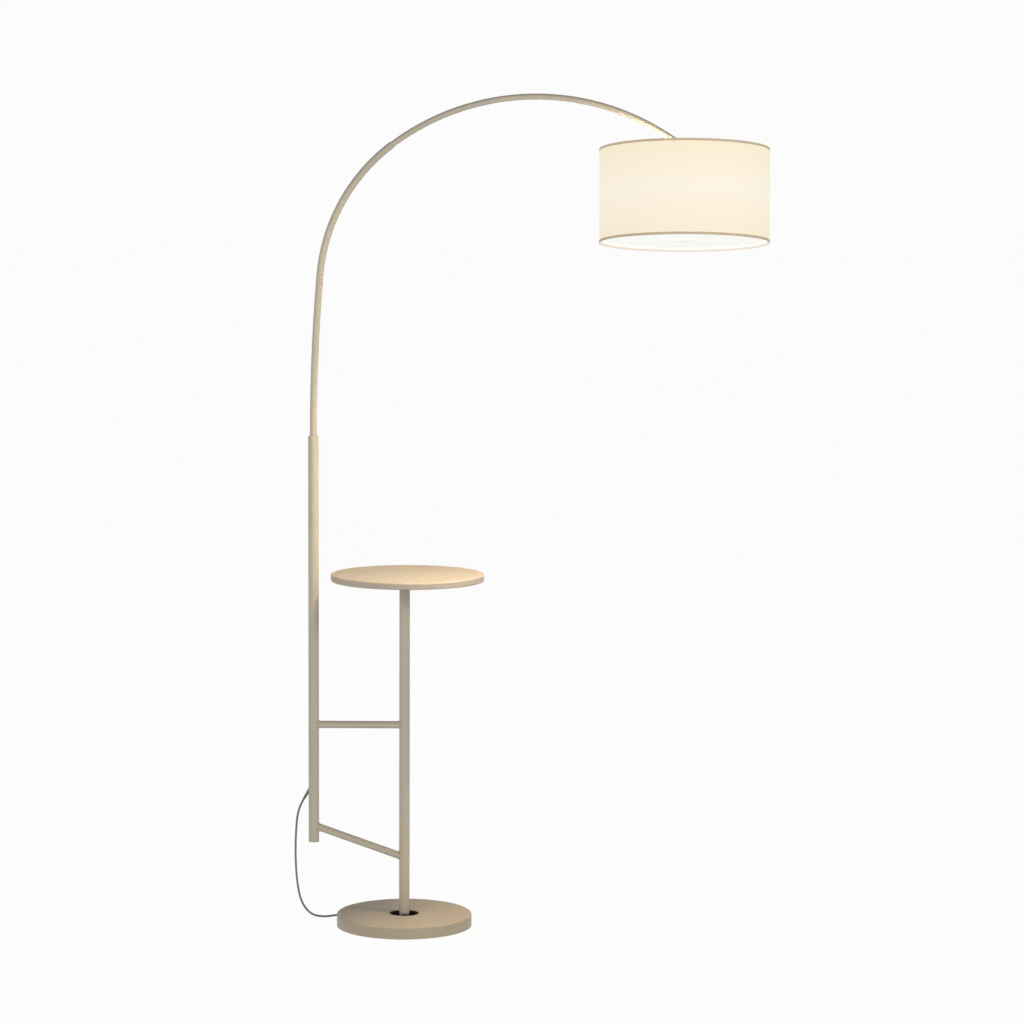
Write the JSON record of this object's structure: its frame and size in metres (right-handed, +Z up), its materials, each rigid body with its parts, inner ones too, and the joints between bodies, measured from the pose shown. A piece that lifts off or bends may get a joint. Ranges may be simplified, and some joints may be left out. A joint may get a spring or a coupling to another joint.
{
  "type": "arc floor lamp with table",
  "caption": "Arc floor lamp with a drum shade on a tilting head, a round table on its own post, and a weighted round base.",
  "frame": {"origin": "on the floor under the middle of the base, on the axis of the table's post", "axes": "+Z up; +X from the lamp pole towards the shade; -Y the side that the shade's underside is tipped to"},
  "size_m": [0.8948, 0.359, 1.5845],
  "materials": {
    "painted_frame": "satin beige paint with a very fine grain",
    "bush": "beige moulded plastic",
    "table": "board with satin beige paint",
    "iron": "plain casting, hidden under the cover",
    "felt": "dark felt",
    "black_plastic": "black moulded plastic",
    "steel": "bright zinc-plated steel",
    "white_plastic": "white moulded plastic",
    "bulb_glass": "opal, lit",
    "shade_wire": "white coated wire",
    "shade_cloth": "fine linen weave on a stiff backing, lit from inside",
    "shade_tape": "woven tape",
    "diffuser": "opal white acrylic, lit from behind",
    "lead": "satin dark grey sheath",
    "tie": "black strap"
  },
  "bodies": {
    "stand": {"base_cover": "painted_frame", "lamp_pole": "painted_frame", "table_post": "painted_frame", "upper_rung": "painted_frame", "lower_rung": "painted_frame", "table_flange": "painted_frame", "post_foot_plug": "painted_frame", "pole_end_cap": "painted_frame", "pole_top_bush": "bush", "pole_lower_bush": "bush", "table_top": "table", "base_weight": "iron", "base_pad": "felt", "recess_cup": "black_plastic", "foot_stud": "steel", "foot_nut": "steel", "foot_washer": "steel", "table_screws": "steel", "plug_pins": "steel", "cord_boot": "lead", "mains_lead": "lead", "cord_hank": "lead", "plug_lead": "lead", "plug_body": "lead", "pole_lead": "lead", "cord_tie": "tie"},
    "arm": {"lower_arc": "painted_frame", "upper_arc": "painted_frame", "arm_elbow": "painted_frame", "swivel_upper": "painted_frame", "swivel_washer": "bush", "swivel_screw": "steel", "swivel_nut": "steel", "arm_lead": "lead"},
    "head": {"swivel_lower": "painted_frame", "holder_nipple": "steel", "holder_cap": "white_plastic", "holder_body": "white_plastic", "holder_ring": "white_plastic", "holder_insert": "white_plastic", "bulb_cap": "steel", "bulb_housing": "white_plastic", "bulb_globe": "bulb_glass", "shade_spider": "shade_wire", "shade_top_ring": "shade_wire", "shade_bottom_ring": "shade_wire", "shade_fabric": "shade_cloth", "shade_top_trim": "shade_tape", "shade_bottom_trim": "shade_tape", "diffuser_panel": "diffuser", "diffuser_knob": "diffuser", "diffuser_nut": "white_plastic", "head_lead": "lead"},
    "switch": {"switch_bar": "white_plastic"}
  },
  "joints": [
    {"name": "arc_swivel", "type": "hinge", "parent": "stand", "child": "arm", "pos_m": [-0.173, 0, 0.9], "axis": [0, 0, 1], "range_deg": [-150, 150]},
    {"name": "head_tilt", "type": "hinge", "parent": "arm", "child": "head", "pos_m": [0.52361, 0, 1.45783], "axis": [1, 0, 0], "range_deg": [-22.5, 37.5]},
    {"name": "switch_slide", "type": "slide", "parent": "head", "child": "switch", "axis": [1, 0, 0], "range_m": [-0.005, 0]}
  ]
}
